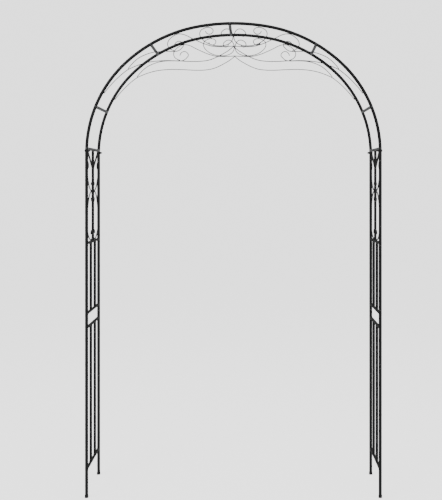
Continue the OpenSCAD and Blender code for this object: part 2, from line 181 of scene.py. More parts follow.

# %% [markdown]
# ## Shared effects
#
# Powder coat is plastic dust melted onto steel. It flows out almost flat and leaves a faint orange
# peel of shallow lumps about a millimetre across. Outdoors a little dust then settles on whatever
# faces up and nuts are rubbed bare at their corners. A pale band at each end of a bar is a painted highlight.
# They could be painted by hand, but a node group with its own inputs serves every part at once.


# %% Node group helpers
def group(name, inputs, outputs):
    """A new shader node group with named float inputs and outputs."""
    tree = bpy.data.node_groups.new(name, "ShaderNodeTree")
    for label, value in inputs.items():
        socket = tree.interface.new_socket(label, in_out="INPUT", socket_type="NodeSocketFloat")
        socket.default_value = value
    for label in outputs:
        tree.interface.new_socket(label, in_out="OUTPUT", socket_type="NodeSocketFloat")
    return tree, tree.nodes.new("NodeGroupInput").outputs, tree.nodes.new("NodeGroupOutput").inputs


def add(tree, kind, links=None, **values):
    """A node with its properties set, its inputs given values, and its inputs linked."""
    made = tree.nodes.new(kind)
    for key, value in values.items():
        setattr(made, key, value)
    for socket, source in (links or {}).items():
        if isinstance(source, bpy.types.NodeSocket):
            tree.links.new(source, made.inputs[socket])
        else:
            made.inputs[socket].default_value = source
    return made


# %% Orange peel
peel, given, result = group("orange_peel", {"Lumps per metre": 800.0}, ["Height", "Mottle"])
place = add(peel, "ShaderNodeTexCoord").outputs["Object"]
lumps = add(peel, "ShaderNodeTexNoise", {"Vector": place, "Scale": given[0], "Detail": 1.0, "Roughness": 0.4})
clouds = add(peel, "ShaderNodeTexNoise", {"Vector": place, "Scale": 18.0, "Detail": 3.0})
peel.links.new(lumps.outputs["Fac"], result["Height"])
peel.links.new(clouds.outputs["Fac"], result["Mottle"])
print("orange peel:", len(peel.nodes), "nodes")

# %% Settled dust
dust, given, result = group("settled_dust", {"Amount": 0.2}, ["Mask"])
place = add(dust, "ShaderNodeTexCoord").outputs["Object"]
normal = add(dust, "ShaderNodeNewGeometry").outputs["Normal"]
facing = add(dust, "ShaderNodeSeparateXYZ", {0: normal}).outputs["Z"]
upward = add(dust, "ShaderNodeMapRange", {"Value": facing, "From Min": 0.35, "From Max": 1.0}).outputs[0]
specks = add(dust, "ShaderNodeTexNoise", {"Vector": place, "Scale": 60.0, "Detail": 6.0, "Roughness": 0.65})
patchy = add(dust, "ShaderNodeMapRange", {"Value": specks.outputs["Fac"], "From Min": 0.35, "From Max": 0.7})
both = add(dust, "ShaderNodeMath", {0: upward, 1: patchy.outputs[0]}, operation="MULTIPLY").outputs[0]
scaled = add(dust, "ShaderNodeMath", {0: both, 1: given[0]}, operation="MULTIPLY").outputs[0]
dust.links.new(scaled, result["Mask"])
print("settled dust:", len(dust.nodes), "nodes")

# %% Rubbed edges
rubbed, given, result = group("rubbed_edges", {"Amount": 0.5}, ["Mask"])
point = add(rubbed, "ShaderNodeNewGeometry").outputs["Pointiness"]
edge = add(rubbed, "ShaderNodeMapRange", {"Value": point, "From Min": 0.52, "From Max": 0.6}).outputs[0]
place = add(rubbed, "ShaderNodeTexCoord").outputs["Object"]
broken = add(rubbed, "ShaderNodeTexNoise", {"Vector": place, "Scale": 350.0, "Detail": 4.0}).outputs["Fac"]
worn = add(rubbed, "ShaderNodeMath", {0: edge, 1: broken}, operation="MULTIPLY").outputs[0]
scaled = add(rubbed, "ShaderNodeMath", {0: worn, 1: given[0]}, operation="MULTIPLY").outputs[0]
rubbed.links.new(scaled, result["Mask"])
print("rubbed edges:", len(rubbed.nodes), "nodes")

# %% Painted highlight at the bar ends
# A pale band at each end of a bar is a painted highlight, with a ragged edge that fades out.
END_HIGHLIGHT_RAGGED, END_HIGHLIGHT_FADE = 6 * MM, 6 * MM
highlight_group, given, result = group("painted_end_highlight", {"From": 0.16}, ["Mask"])
place = add(highlight_group, "ShaderNodeTexCoord").outputs["Object"]
along_bar = add(highlight_group, "ShaderNodeSeparateXYZ", {0: place}).outputs["Y"]
from_middle = add(highlight_group, "ShaderNodeMath", {0: along_bar}, operation="ABSOLUTE").outputs[0]
ragged = add(highlight_group, "ShaderNodeTexNoise", {"Vector": place, "Scale": 220.0, "Detail": 3.0}).outputs["Fac"]
moved = add(highlight_group, "ShaderNodeMath", {0: ragged, 1: END_HIGHLIGHT_RAGGED, 2: from_middle}, operation="MULTIPLY_ADD")
past = add(highlight_group, "ShaderNodeMath", {0: moved.outputs[0], 1: given[0]}, operation="SUBTRACT").outputs[0]
soft = add(highlight_group, "ShaderNodeMapRange", {"Value": past, "From Min": 0.0, "From Max": END_HIGHLIGHT_FADE}).outputs[0]
highlight_group.links.new(soft, result["Mask"])
print("shared effects:", sorted(tree.name for tree in bpy.data.node_groups))

# %% [markdown]
# ## Finishes
#
# All the finishes are built the same way: a Principled shader whose colour drifts between two
# close tones, a little pale dust on top, and a bump from the orange peel. What sets them apart is
# the tone, the gloss, and how deep and how close the lumps are. One function builds them all, and
# a number that is the same all over goes straight on to the shader's own socket.

# %% How a finish is built
DUST = (0.23, 0.21, 0.18)
# The pale grey of the painted highlight at the bar ends.
END_HIGHLIGHT = (0.42, 0.42, 0.43)
RUBBED = 0.5
BUMP = 0.4


def tint(tree, mask, under, over):
    """One colour over another, where a mask lets it through."""
    under = under if isinstance(under, bpy.types.NodeSocket) else (*under, 1)
    mixed = add(tree, "ShaderNodeMix", {"Factor": mask, 6: under, 7: (*over, 1)}, data_type="RGBA")
    return mixed.outputs[2]


def effect(tree, kind, label, value):
    """A shared effect in a material, with its own value."""
    made = add(tree, "ShaderNodeGroup", node_tree=kind)
    made.inputs[label].default_value = value
    return made.outputs


def finish(name, dark, light, rough, lumps_per_m, depth, dusty=0.15, metallic=0.0, specular=0.5,
           wear=None, highlight_from=None):
    """A coated surface: rough is (lowest, highest), depth is the height of the lumps in metres.
    The last argument is a distance from the middle along Y. Past it the coat is painted pale, a painted
    highlight."""
    material = bpy.data.materials.new(name)
    material.use_nodes = True
    tree = material.node_tree
    shader = tree.nodes["Principled BSDF"]
    shader.inputs["Metallic"].default_value = metallic
    shader.inputs["Specular IOR Level"].default_value = specular
    skin = effect(tree, peel, "Lumps per metre", lumps_per_m)
    film = effect(tree, dust, "Amount", dusty)["Mask"]
    colour = tint(tree, skin["Mottle"], dark, light)
    if wear:
        colour = tint(tree, effect(tree, rubbed, "Amount", RUBBED)["Mask"], colour, wear)
    # Past a distance from the middle, the bar's ends get a painted highlight.
    if highlight_from:
        colour = tint(tree, effect(tree, highlight_group, "From", highlight_from)["Mask"], colour, END_HIGHLIGHT)
    colour = tint(tree, film, colour, DUST)
    gloss = add(tree, "ShaderNodeMapRange", {"Value": skin["Mottle"], "From Min": 0.3, "From Max": 0.7,
                                             "To Min": rough[0], "To Max": rough[1]})
    matt = add(tree, "ShaderNodeMath", {0: gloss.outputs[0], 1: film}, operation="ADD", use_clamp=True)
    bump = add(tree, "ShaderNodeBump", {"Strength": BUMP, "Distance": depth, "Height": skin["Height"]})
    tree.links.new(colour, shader.inputs["Base Color"])
    tree.links.new(matt.outputs[0], shader.inputs["Roughness"])
    tree.links.new(bump.outputs["Normal"], shader.inputs["Normal"])
    return material


# %% Coats
black_coat = finish("black_coat", (0.007, 0.0074, 0.008), (0.013, 0.0135, 0.0145), rough=(0.38, 0.5),
                    lumps_per_m=800, depth=0.03 * MM, dusty=0.05, specular=0.35)
# The grey coat carries a painted highlight at both ends of each bar.
grey_coat = finish("grey_coat", (0.13, 0.134, 0.14), (0.19, 0.194, 0.2), rough=(0.4, 0.52),
                   lumps_per_m=800, depth=0.03 * MM, dusty=0.06, highlight_from=0.163)
weld_coat = finish("weld_coat", (0.008, 0.0085, 0.0095), (0.014, 0.0145, 0.016), rough=(0.3, 0.4),
                   lumps_per_m=1400, depth=0.1 * MM, dusty=0.05, specular=0.4)
black_nut = finish("black_nut", (0.014, 0.0145, 0.016), (0.03, 0.031, 0.033), rough=(0.24, 0.36),
                   lumps_per_m=1800, depth=0.03 * MM, wear=(0.2, 0.2, 0.21))
print("coats on the tubes, welds and nuts")

# %% Bare metal and rubber
black_zinc = finish("black_zinc", (0.07, 0.072, 0.076), (0.13, 0.132, 0.138), rough=(0.36, 0.5),
                    lumps_per_m=2500, depth=0.03 * MM, metallic=1.0)
drawn_steel = finish("drawn_steel", (0.3, 0.3, 0.31), (0.42, 0.42, 0.43), rough=(0.35, 0.5),
                     lumps_per_m=1500, depth=0.02 * MM, metallic=1.0)
rubber = finish("rubber", (0.01, 0.01, 0.011), (0.02, 0.02, 0.021), rough=(0.6, 0.75),
                lumps_per_m=2200, depth=0.08 * MM, dusty=0.3)
SLOT_FINISH = {
    "black_coat": black_coat, "grey_coat": grey_coat, "bolt_steel": black_zinc, "nut_black": black_nut,
    "spigot_steel": drawn_steel, "cap_rubber": rubber,
}
print("finishes:", sorted(SLOT_FINISH))

# %% [markdown]
# ## Bending tube and wire
#
# A tube bender holds the tube, rolls it round a die and pulls it on to the next bend. The same
# moves make the mesh: a ring of vertices is spun about the centre of each bend, and a straight
# stretch is an extrusion. One continuous skin comes out, with no step where the radius changes.


# %% Rings and tips
CUT_RIM, CUT_SHARE = 0.06, 0.93


def new_ring(bm, radius, sides, place, along):
    """A ring round a place, square to the direction it will be pulled in. Gives its edges."""
    turn = Vector(along).to_track_quat("Z", "Y").to_matrix().to_4x4()
    made = bmesh.ops.create_circle(bm, segments=sides, radius=radius, matrix=Matrix.Translation(place) @ turn)
    return list({edge for vert in made["verts"] for edge in vert.link_edges})


def corners(edges):
    return list({vert for edge in edges for vert in edge.verts})


def pull(bm, edges, shift=(0, 0, 0), scale=1.0):
    """Extrudes a ring, then moves and scales the new one about its middle."""
    made = bmesh.ops.extrude_edge_only(bm, edges=edges)["geom"]
    verts = [item for item in made if isinstance(item, bmesh.types.BMVert)]
    centre = sum((vert.co for vert in verts), Vector()) / len(verts)
    bmesh.ops.scale(bm, verts=verts, vec=(scale,) * 3, space=Matrix.Translation(-centre))
    bmesh.ops.translate(bm, verts=verts, vec=shift)
    return [item for item in made if isinstance(item, bmesh.types.BMEdge) and item.is_boundary]


def round_tip(bm, edges, out, radius, steps=3):
    """Closes a ring with a dome, as a wire's end looks once the coating has run over its edge."""
    before = 0.0
    for step in range(1, steps + 1):
        angle = step / (steps + 0.5) * math.pi / 2
        scale = math.cos(angle) / math.cos(before)
        edges = pull(bm, edges, (math.sin(angle) - math.sin(before)) * radius * Vector(out), scale)
        before = angle
    bmesh.ops.contextual_create(bm, geom=edges)


def square_tip(bm, edges, out, radius):
    """Closes a ring with a flat saw cut whose edge is broken."""
    edges = pull(bm, edges, CUT_RIM * radius * Vector(out), CUT_SHARE)
    bmesh.ops.contextual_create(bm, geom=edges)


# %% Pieces
SAME_SPOT = 1e-6
SOFT_CREASE, CRISP_CREASE = 0.9, 0.6


def piece(name, bm, slot, replaced=(), coat=None, crease=SOFT_CREASE):
    """Turns a finished bmesh into a piece of the arch: smooth, closed, coated and riding on the body.
    An edge bent by more than the crease, in radians, stays sharp."""
    bmesh.ops.remove_doubles(bm, verts=bm.verts, dist=SAME_SPOT)
    bmesh.ops.recalc_face_normals(bm, faces=bm.faces)
    for face in bm.faces:
        face.smooth = True
    for edge in bm.edges:
        edge.smooth = not edge.is_manifold or edge.calc_face_angle(0) < crease
    mesh = bpy.data.meshes.new(name)
    bm.to_mesh(mesh)
    bm.free()
    mesh.materials.append(coat or SLOT_FINISH[slot])
    made = bpy.data.objects.new(name, mesh)
    scene.collection.objects.link(made)
    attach(made, "root")
    if replaced:
        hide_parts(*replaced)
    return made


# %% Bends in the plane of a hoop
STRAIGHT, MOST_TURN = 0.01, 0.14


def upright(spot, y):
    """A place in the plane of a hoop as a place in space."""
    return Vector((spot.x, y, spot.y))


def left_of(heading):
    return Vector((-heading.y, heading.x))


def mirrored(heading, axis):
    """A heading mirrored in an axis: the heading at the far end of a bend whose chord is that axis."""
    return 2 * heading.dot(axis) * axis - heading


def bend_tube(bm, edges, y, bend, step):
    """Pulls a ring through one bend: (from, to, heading). The rings are a step apart, in metres,
    and turn by no more than MOST_TURN from one to the next."""
    start, end, heading = bend
    chord = end - start
    turn = 2 * math.atan2(left_of(heading).dot(chord), heading.dot(chord))
    if abs(turn) < STRAIGHT:
        return pull(bm, edges, Vector((chord.x, 0, chord.y)))
    radius = chord.length / (2 * math.sin(turn / 2))
    centre = start + radius * left_of(heading)
    steps = max(1, round(abs(radius * turn) / step), math.ceil(abs(turn) / MOST_TURN))
    spun = bmesh.ops.spin(bm, geom=corners(edges) + edges, cent=upright(centre, y), axis=(0, -1, 0),
                          angle=turn, steps=steps, use_merge=False)
    return [item for item in spun["geom_last"] if isinstance(item, bmesh.types.BMEdge)]


def bend_rod(bm, bends, radius, sides, step, tip, y=0.0):
    """A rod or tube through a run of bends, in the plane y."""
    along = upright(bends[0][2], 0)
    first = ring = new_ring(bm, radius, sides, upright(bends[0][0], y), along)
    for bend in bends:
        ring = bend_tube(bm, ring, y, bend, step)
    start, end, heading = bends[-1]
    tip(bm, first, -along, radius)
    tip(bm, ring, upright(mirrored(heading, (end - start).normalized()), 0), radius)


def bent(side, *rod):
    """A new bmesh with one bent rod, on the left (-1) or the right (1) of the arch."""
    bm = bmesh.new()
    bend_rod(bm, *rod)
    bmesh.ops.scale(bm, verts=bm.verts, vec=(side, 1, 1))
    return bm


# %% [markdown]
# ## The half hoops
#
# Each hoop is two bent halves that butt on a spigot at the top, so the arch fits in a carton. A
# half starts at the crown, and the bender changes its radius twice on the way down to the leg.

# %% Bend the half hoops
HOOP_SIDES, HOOP_STEP = 28, 20 * MM
JOINT_GAP = 0.15 * MM


def hoop_bends():
    """One bend for each arc, along the middle of the tube, from the apex down to the leg."""
    bends = []
    for start, end, centre, radius in ARCH:
        first, last = (on_arch(angle, tube_r) for angle in (start, end))
        bends.append((first[0], last[0], -left_of(first[1])))
    return bends


def trimmed(bends, gap):
    """The same bends, cut back by a gap at both ends for the joints."""
    (a, b, t), *middle_bends, (c, d, u) = bends
    return [(a + gap * t, b, t), *middle_bends, (c, d - gap * mirrored(u, (d - c).normalized()), u)]


for plane, y in hoop_y.items():
    for side_name, side in SIDES.items():
        bm = bent(side, trimmed(hoop_bends(), JOINT_GAP), tube_r, HOOP_SIDES, HOOP_STEP, square_tip, y)
        piece(f"{plane}_{side_name}_hoop_tube", bm, "black_coat", [f"{plane}_{side_name}_half_hoop"])
print(f"four half hoops of {2 * tube_r / MM:.1f} mm tube")

# %% [markdown]
# ## Drawing the scrolls
#
# The smith bends wire cold round pegs. Between two pegs a wire takes the shape of two arcs that
# share a tangent, so the curl tightens evenly and never kinks. The outlines below are the outer
# side of each wire, and the wire runs half its thickness inside them, so that neighbouring wires
# touch where they are tacked together.


# %% Smooth paths of arcs
PARALLEL = 1e-6


def steer(before, here, after):
    """The heading at a point of the circle through it and its neighbours."""
    leg_in, leg_out = here - before, after - here
    return (leg_in.normalized() * leg_out.length + leg_out.normalized() * leg_in.length).normalized()


def headings(points):
    """The heading at each point of a path. The end ones carry on the bend of their neighbours."""
    inner = [steer(*points[i - 1:i + 2]) for i in range(1, len(points) - 1)]
    first = mirrored(inner[0], (points[1] - points[0]).normalized())
    last = mirrored(inner[-1], (points[-1] - points[-2]).normalized())
    return [first, *inner, last]


def meeting(p, q, t, u):
    """Where the two arcs between p, heading t, and q, heading u, meet."""
    v, k, s = q - p, 2 * (1 - t.dot(u)), (q - p).dot(t + u)
    d = v.dot(v) / (4 * v.dot(u)) if k < PARALLEL else (math.sqrt(s * s + k * v.dot(v)) - s) / k
    return (p + q + d * (t - u)) / 2


def bends_through(points):
    """Two bends from each point to the next."""
    bends = []
    for p, q, t, u in zip(points, points[1:], headings(points), headings(points)[1:]):
        m = meeting(p, q, t, u)
        bends += [(p, m, t), (m, q, mirrored(t, (m - p).normalized()))]
    return bends


def shifted(points, by):
    """The points moved to the left of the path."""
    return [point + by * left_of(heading) for point, heading in zip(points, headings(points))]


# %% Outlines of the crest
HEART = [
    (31, 45), (36, 53), (47, 59), (60, 53), (62, 39), (51, 24), (34, 17), (17, 21), (5, 36), (0, 57),
    (5, 78), (15, 90), (31, 99), (49, 103.5), (69, 104.5), (97, 102), (121, 95), (147, 79), (163, 61),
    (168, 42), (163, 27), (147, 15), (124, 9.5), (108, 13), (98, 24), (100, 37), (109, 45), (122, 47),
    (134, 41), (139, 31),
]
S_SCROLL = [
    (0, 101), (35, 103.5), (69, 104.5), (103, 102), (138, 92), (172, 78), (206, 62), (234, 48), (256, 42),
    (275, 42.6), (294, 51), (310, 63), (322, 78), (326, 95), (322, 109), (311, 120), (292, 128),
]
BRANCH = [
    (504, 194), (482, 172), (463, 158), (434, 144), (400, 133), (360, 128), (318, 127.5), (292, 128),
    (271, 124), (257, 113), (248, 99), (254, 88), (267, 82), (281, 88), (288, 101),
]
SWEEP = [
    (31, 127), (60, 144), (90, 159), (120, 170), (160, 176), (206, 177), (275, 174), (344, 173), (413, 180),
    (447, 188), (484, 201), (522, 219), (546, 237), (570, 258), (595, 283),
]
JUNCTION = 11
BRANCH_ANGLE = math.radians(32)
SWEEP_END = math.radians(60.5)


def crest(outline):
    """Millimetres out from the middle and down from the apex, as places in the plane of a hoop."""
    return [Vector((x * MM, top_z - drop * MM)) for x, drop in outline]


print("pegs along the crest's wires:", [len(line) for line in (HEART, S_SCROLL, BRANCH, SWEEP)])

# %% Wire centrelines
WELD_GAP = 0.25 * MM
heart_low, heart_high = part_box("front_right_heart_scroll")
wire_r = (heart_high.y - heart_low.y) / 2
wire_in = wire_r + WELD_GAP
heart_line = shifted(crest(HEART), wire_in)
s_line = shifted(crest(S_SCROLL), -wire_in)
sweep_body = shifted(crest(SWEEP), -wire_in)
sweep_start = Vector((wire_in, s_line[0].y - wire_in - wire_r))
sweep_line = [sweep_start, *sweep_body, on_arch(SWEEP_END, -wire_in)[0]]
standoff = (wire_r * (1 + math.cos(BRANCH_ANGLE)) + WELD_GAP) / math.sin(BRANCH_ANGLE)
away = Matrix.Rotation(-BRANCH_ANGLE, 2) @ -headings(sweep_body)[JUNCTION]
branch_line = [sweep_body[JUNCTION] + standoff * away, *shifted(crest(BRANCH), wire_in)]
CREST_LINES = {
    "heart_scroll": heart_line, "s_scroll": s_line, "crest_sweep": sweep_line, "crest_branch": branch_line,
}
for kind, line in CREST_LINES.items():
    print(kind, round(sum((b - a).length for a, b in zip(line, line[1:])) / MM), "mm of wire")

# %% [markdown]
# ## The crest
#
# Four wires make each quarter of the crest: a heart scroll by the middle, an S scroll over it, and
# a long sweep along the bottom with a branch that curls back. They are 4 mm wire with tips that
# the coating has rounded. Twelve sides are enough for something this thin.

# %% Bend the crest wires
WIRE_SIDES, WIRE_STEP = 12, 6 * MM
for plane, y in hoop_y.items():
    for side_name, side in SIDES.items():
        for kind, line in CREST_LINES.items():
            bm = bent(side, bends_through(line), wire_r, WIRE_SIDES, WIRE_STEP, round_tip, y)
            piece(f"{plane}_{side_name}_{kind}_wire", bm, "black_coat", [f"{plane}_{side_name}_{kind}"])
print(f"sixteen crest wires of {2 * wire_r / MM:.1f} mm")

# %% [markdown]
# ## The side panels' scrolls
#
# The panel scrolls are thicker, 6 mm rod, because children and climbing plants pull at them. They
# lie in the plane of the panel, so they are bent in the plane of a hoop first and then turned.
# Their outlines run up from the mid rail and outwards from the centre bar, for a bay 166 mm wide.

# %% Outlines of the panel scrolls
LOWER_SCROLL = [
    (52, 40), (46, 54), (26, 60), (6, 50), (1, 33), (17, 15), (58, 7), (108, 22), (152, 62), (166, 110),
    (152, 158), (130, 200), (94, 238), (42, 256), (11, 245), (1, 223), (13, 204), (34, 204), (42, 220),
]
UPPER_SCROLL = [
    (42, 290), (32, 302), (12, 302), (1, 284), (11, 264), (42, 256), (86, 268), (128, 302), (157, 344),
    (165, 374), (157, 397), (138, 405), (120, 393), (121, 374), (138, 368),
]
PANEL_BAY = 166
rail_low, rail_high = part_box("right_upper_rails")
bar_r = (rail_high.x - rail_low.x) / 2
mid_rail_z = rail_high.z - bar_r
scroll_low, scroll_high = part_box("front_right_panel_scrolls")
rod_r = (scroll_high.x - scroll_low.x) / 2
bay_share = (hoop_y["rear"] - tube_r - bar_r) / (PANEL_BAY * MM)


def panel_bends(outline):
    """The bends of a panel scroll, from millimetres off the centre bar and up from the mid rail."""
    spots = [Vector((bar_r + u * MM * bay_share, mid_rail_z + v * MM)) for u, v in outline]
    return bends_through(shifted(spots, rod_r + WELD_GAP))


print(f"the outlines are drawn {bay_share:.3f} times as wide")

# %% Bend the panel scrolls
ROD_SIDES = 16
for plane, y in hoop_y.items():
    for side_name, side in SIDES.items():
        bm = bmesh.new()
        for outline in (LOWER_SCROLL, UPPER_SCROLL):
            bend_rod(bm, panel_bends(outline), rod_r, ROD_SIDES, WIRE_STEP, round_tip)
        bmesh.ops.rotate(bm, verts=bm.verts, matrix=Matrix.Rotation(math.pi / 2, 3, "Z"))
        bmesh.ops.scale(bm, verts=bm.verts, vec=(1, math.copysign(1, y), 1))
        bmesh.ops.translate(bm, verts=bm.verts, vec=(side * leg_x, 0, 0))
        piece(f"{plane}_{side_name}_panel_rods", bm, "black_coat", [f"{plane}_{side_name}_panel_scrolls"])
print(f"eight panel rods of {2 * rod_r / MM:.1f} mm")

# %% [markdown]
# ## The crossbars
#
# Seven grey tubes hold the two hoops apart. Each end is coped, which means cut to the hoop's own
# curve, so the bolt pulls it on without a wobble. The cope starts as a plain ring, and each of its
# vertices slides along the bar until it meets the hoop. Inside it is the plug with the bolt's hole.


# %% Where a crossbar meets the hoops
def cope(spot, across, reach, radius):
    """How far along a bar a point reaches before it meets a tube of that radius, square to it."""
    return reach - math.sqrt(max(radius ** 2 - spot.dot(across) ** 2, 0))


def angle_at(spot):
    """The angle from upright of a spot on the arch."""
    for start, end, centre, _ in ARCH:
        out = Vector((abs(spot.x), spot.y)) - centre
        angle = math.atan2(out.x, out.y)
        if start - ANGLE_SLACK <= angle <= end + ANGLE_SLACK:
            return angle


def bar_place(node):
    """The axis of a crossbar in the plane of a hoop, and the way out of the arch there."""
    spot = middle(node).xz
    out = on_arch(angle_at(spot))[1]
    return spot, Vector((math.copysign(out.x, spot.x), out.y))


CROSSBARS = ["apex_crossbar"]
CROSSBARS += [f"{side}_{kind}_crossbar" for side in SIDES for kind in ("haunch", "shoulder", "panel")]
print([round(math.degrees(angle_at(middle(node).xz)), 1) for node in CROSSBARS], "degrees from upright")

# %% Coped tubes between the hoops
BAR_SIDES = 32
END_BAND = 9 * MM
BOLT_HOLE_R, BOLT_HOLE_DEEP = 3.2 * MM, 15 * MM
for node in CROSSBARS:
    low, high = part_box(node)
    crossbar_r = (high.x - low.x) / 2
    spot, out = bar_place(node)
    bm = bmesh.new()
    for facing in (-1, 1):
        ring = new_ring(bm, crossbar_r, BAR_SIDES, upright(spot, 0), (0, facing, 0))
        ring = pull(bm, ring, (0, facing * (high.y - END_BAND), 0))
        ring = pull(bm, ring)
        for vert in corners(ring):
            edge_y = cope(vert.co.xz - spot, out, hoop_y["rear"], tube_r + WELD_GAP)
            bmesh.ops.translate(bm, verts=[vert], vec=(0, facing * edge_y - vert.co.y, 0))
        ring = pull(bm, ring, scale=BOLT_HOLE_R / crossbar_r)
        ring = pull(bm, ring, (0, -facing * BOLT_HOLE_DEEP, 0))
        bmesh.ops.contextual_create(bm, geom=ring)
    piece(node.replace("crossbar", "spacer_tube"), bm, "grey_coat", [node])
print(f"seven crossbars of {2 * crossbar_r / MM:.1f} mm")

# %% [markdown]
# ## Bolts, cap nuts and foot caps
#
# Fasteners and rubber ferrules come off a lathe or out of a mould with the same round section all
# the way round. So one profile of radii and heights is spun a full turn, and then moved to each
# place. The hexagon of a cap nut is a six-sided cone primitive with its edges bevelled.


# %% A lathe
def turn_on_lathe(bm, profile, place, sides=24):
    """Spins (radius, height) pairs, in millimetres, round their own axis and moves the result."""
    old = set(bm.verts)
    line = [bmesh.ops.create_vert(bm, co=(r * MM, 0, z * MM))["vert"][0] for r, z in profile]
    edges = [bmesh.ops.contextual_create(bm, geom=pair)["edges"][0] for pair in zip(line, line[1:])]
    bmesh.ops.spin(bm, geom=line + edges, cent=(0, 0, 0), axis=(0, 0, 1), angle=2 * math.pi, steps=sides,
                   use_merge=True)
    new = [vert for vert in bm.verts if vert not in old]
    bmesh.ops.remove_doubles(bm, verts=new, dist=SAME_SPOT)
    bmesh.ops.transform(bm, matrix=place, verts=[vert for vert in new if vert.is_valid])


def standing(place, along):
    """A matrix that stands a turned piece at a place, with its axis along a direction."""
    return Matrix.Translation(place) @ Vector(along).to_track_quat("Z", "Y").to_matrix().to_4x4()


# %% Bolts through the hoops
HEAD_R, HEAD_H, SHANK_R = 5.5, 3.4, 3.0
SKIRT, TIP_CHAMFER = 1.6, 0.5
PAST_HOOP = 14
TUBE_MM = tube_r / MM
head_ball = (HEAD_R ** 2 + HEAD_H ** 2) / (2 * HEAD_H)


def head_height(r):
    """How high the domed head stands over the tube's centreline at a radius."""
    return TUBE_MM + HEAD_H + math.sqrt(head_ball ** 2 - r ** 2) - head_ball


def bolt_profile(reach):
    """A domed bolt from the middle of its head to the tip of its shank, from the tube's centreline."""
    head = [(r, head_height(r)) for r in (0, 1.2, 2.4, 3.5, 4.4, 5.0, 5.35, HEAD_R)]
    neck = [(HEAD_R, TUBE_MM - SKIRT), (SHANK_R, TUBE_MM - SKIRT)]
    return head + neck + [(SHANK_R, TIP_CHAMFER - reach), (SHANK_R - TIP_CHAMFER, -reach), (0, -reach)]


bm = bmesh.new()
for node in CROSSBARS:
    spot, _ = bar_place(node)
    for y in hoop_y.values():
        stand = standing(upright(spot, y), (0, math.copysign(1, y), 0))
        turn_on_lathe(bm, bolt_profile(TUBE_MM + PAST_HOOP), stand)
piece("hoop_bolts", bm, "bolt_steel", ["crossbar_bolts"], crease=CRISP_CREASE)
print(2 * len(CROSSBARS), "bolts into the crossbars")

# %% Bolts and cap nuts over the legs
LEG_BOLT_RISE = 8 * MM
PAST_LEG_HOOP = 5.75
NUT_AF, NUT_H, NUT_GAP, NUT_RIM = 10.0, 5.5, 0.25, 0.45
DOME_R, DOME_H, DOME_MOUTH = 4.9, 5.0, 4.6
leg_bolt_angle = math.acos(LEG_BOLT_RISE / (shoulder_r + tube_r))
nut_profile = [(0, NUT_H - 1), (DOME_MOUTH, NUT_H - 1)]
nut_profile += [(DOME_R * math.cos(a), NUT_GAP + NUT_H + DOME_H * math.sin(a))
                for a in (0, 0.25, 0.5, 0.75, 1.0, 1.3, math.pi / 2)]
hexagon_r = NUT_AF / 2 / math.cos(math.pi / 6) * MM
bolts, nuts = bmesh.new(), bmesh.new()
for y in hoop_y.values():
    for side in SIDES.values():
        face, out = on_arch(leg_bolt_angle)
        centre = face + tube_r * out
        outwards = Vector((side * out.x, 0, out.y))
        stand = standing((side * centre.x, y, centre.y), outwards)
        turn_on_lathe(bolts, bolt_profile(TUBE_MM + PAST_LEG_HOOP), stand)
        inward = standing((side * face.x, y, face.y), -outwards)
        turn_on_lathe(nuts, nut_profile, inward)
        hexagon = bmesh.ops.create_cone(nuts, cap_ends=True, segments=6, radius1=hexagon_r, radius2=hexagon_r,
                                        depth=NUT_H * MM,
                                        matrix=inward @ Matrix.Translation((0, 0, (NUT_GAP + NUT_H / 2) * MM)))
        rims = list({edge for vert in hexagon["verts"] for edge in vert.link_edges})
        bmesh.ops.bevel(nuts, geom=rims, offset=NUT_RIM * MM, offset_type="OFFSET", affect="EDGES", segments=2,
                        profile=0.5, material=-1)
piece("leg_joint_bolts", bolts, "bolt_steel", ["leg_bolts"], crease=CRISP_CREASE)
piece("leg_joint_nuts", nuts, "nut_black", ["cap_nuts"], crease=CRISP_CREASE)
print("4 bolts with 4 cap nuts")

# %% Foot caps
CAP_SIDES = 40
CAP = [
    (0, 0.5), (4.6, 0.5), (5.0, 0), (7.9, 0), (8.5, 0.25), (9.1, 0.8), (9.35, 1.5), (9.4, 2.2),
    (9.4, 4.2), (9.15, 4.5), (9.15, 5.1), (9.4, 5.4), (9.4, 7.4), (9.15, 7.7), (9.15, 8.3), (9.4, 8.6),
    (9.4, 12.8), (9.3, 13.5), (9.0, 13.9), (8.7, 14.0), (8.35, 13.8), (8.25, 13.2), (8.25, 4.0), (0, 4.0),
]
bm = bmesh.new()
for y in hoop_y.values():
    for side in SIDES.values():
        turn_on_lathe(bm, CAP, Matrix.Translation((side * leg_x, y, 0)), sides=CAP_SIDES)
piece("rubber_ferrules", bm, "cap_rubber", ["foot_caps"], crease=CRISP_CREASE)
print("4 foot caps")

# %% [markdown]
# ## Welds
#
# A rail meets its post in a saddle, and the welder runs a bead round it that rises and falls with
# that saddle. The bead is a small ring spun round the rail. Its vertices then slide along the rail
# on to the post, and a little noise gives the ripples of the molten pool. Thin wires are only
# tacked: each tack is a ball of metal that has run into the corner and set.


# %% A bead round a coped joint
BEAD_R = 1.5 * MM
BEAD_SIDES, BEAD_STEPS = 8, 44
BEAD_OUT = 0.15
CLEAR_OF_EDGE = 0.95
RIPPLE, RIPPLES_PER_M = 0.16, 900


